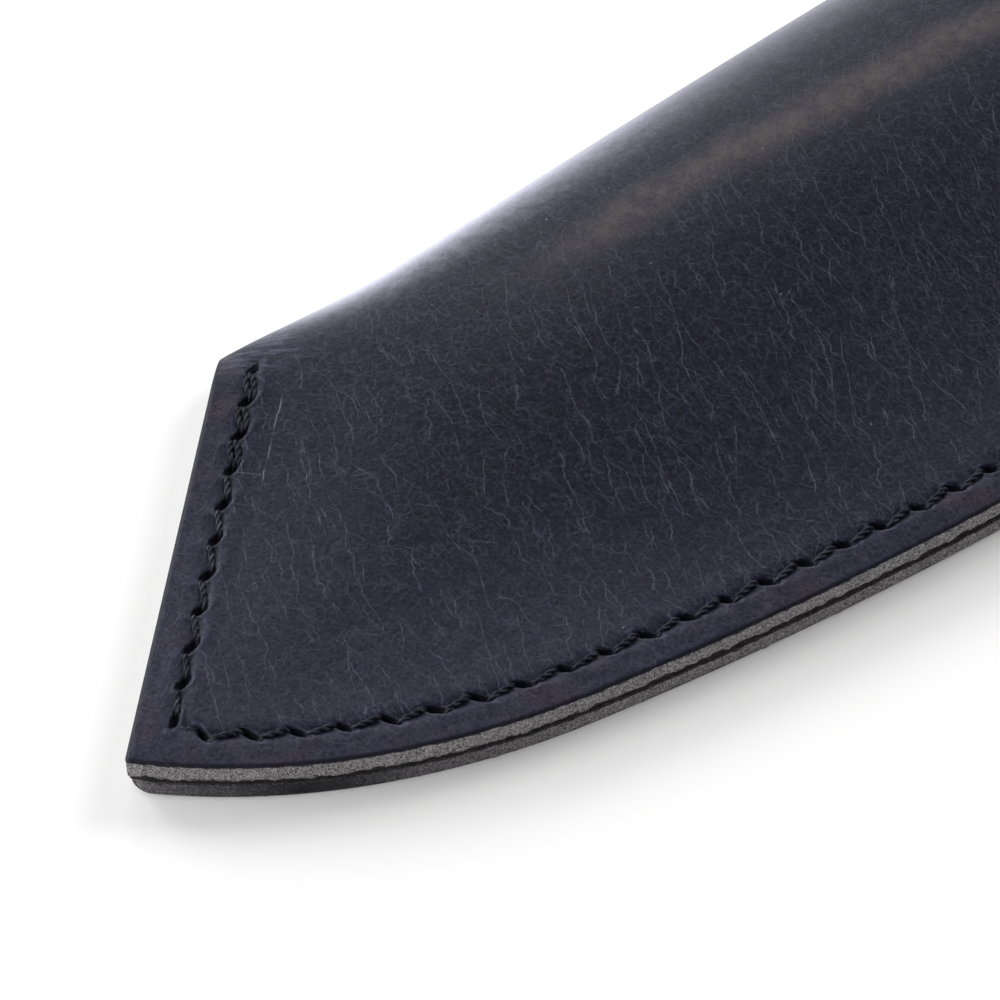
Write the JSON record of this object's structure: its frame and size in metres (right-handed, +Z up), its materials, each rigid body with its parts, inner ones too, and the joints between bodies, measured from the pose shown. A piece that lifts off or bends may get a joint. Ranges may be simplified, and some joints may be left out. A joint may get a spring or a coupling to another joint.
{
  "type": "knife blade guard",
  "caption": "Folded leather slip sheath for a wide kitchen knife blade, with a welted, lockstitched seam along its tip cut and belly.",
  "frame": {"origin": "middle of the outline, on the surface that the back panel lies on", "axes": "+X along the fold from the tip to the mouth, +Y from the belly to the fold, +Z up from the back panel to the front panel"},
  "size_m": [0.1932, 0.0598, 0.0092],
  "materials": {
    "cover_leather": "dark navy full-grain hide, satin, fine creases, raw fibrous cut edges",
    "welt_leather": "dark dyed hide, matte",
    "thread": "dark navy twisted and waxed polyester thread"
  },
  "bodies": {
    "root": {"cover": "cover_leather", "welt": "welt_leather", "needle_thread": "thread", "bobbin_thread": "thread"}
  },
  "joints": []
}
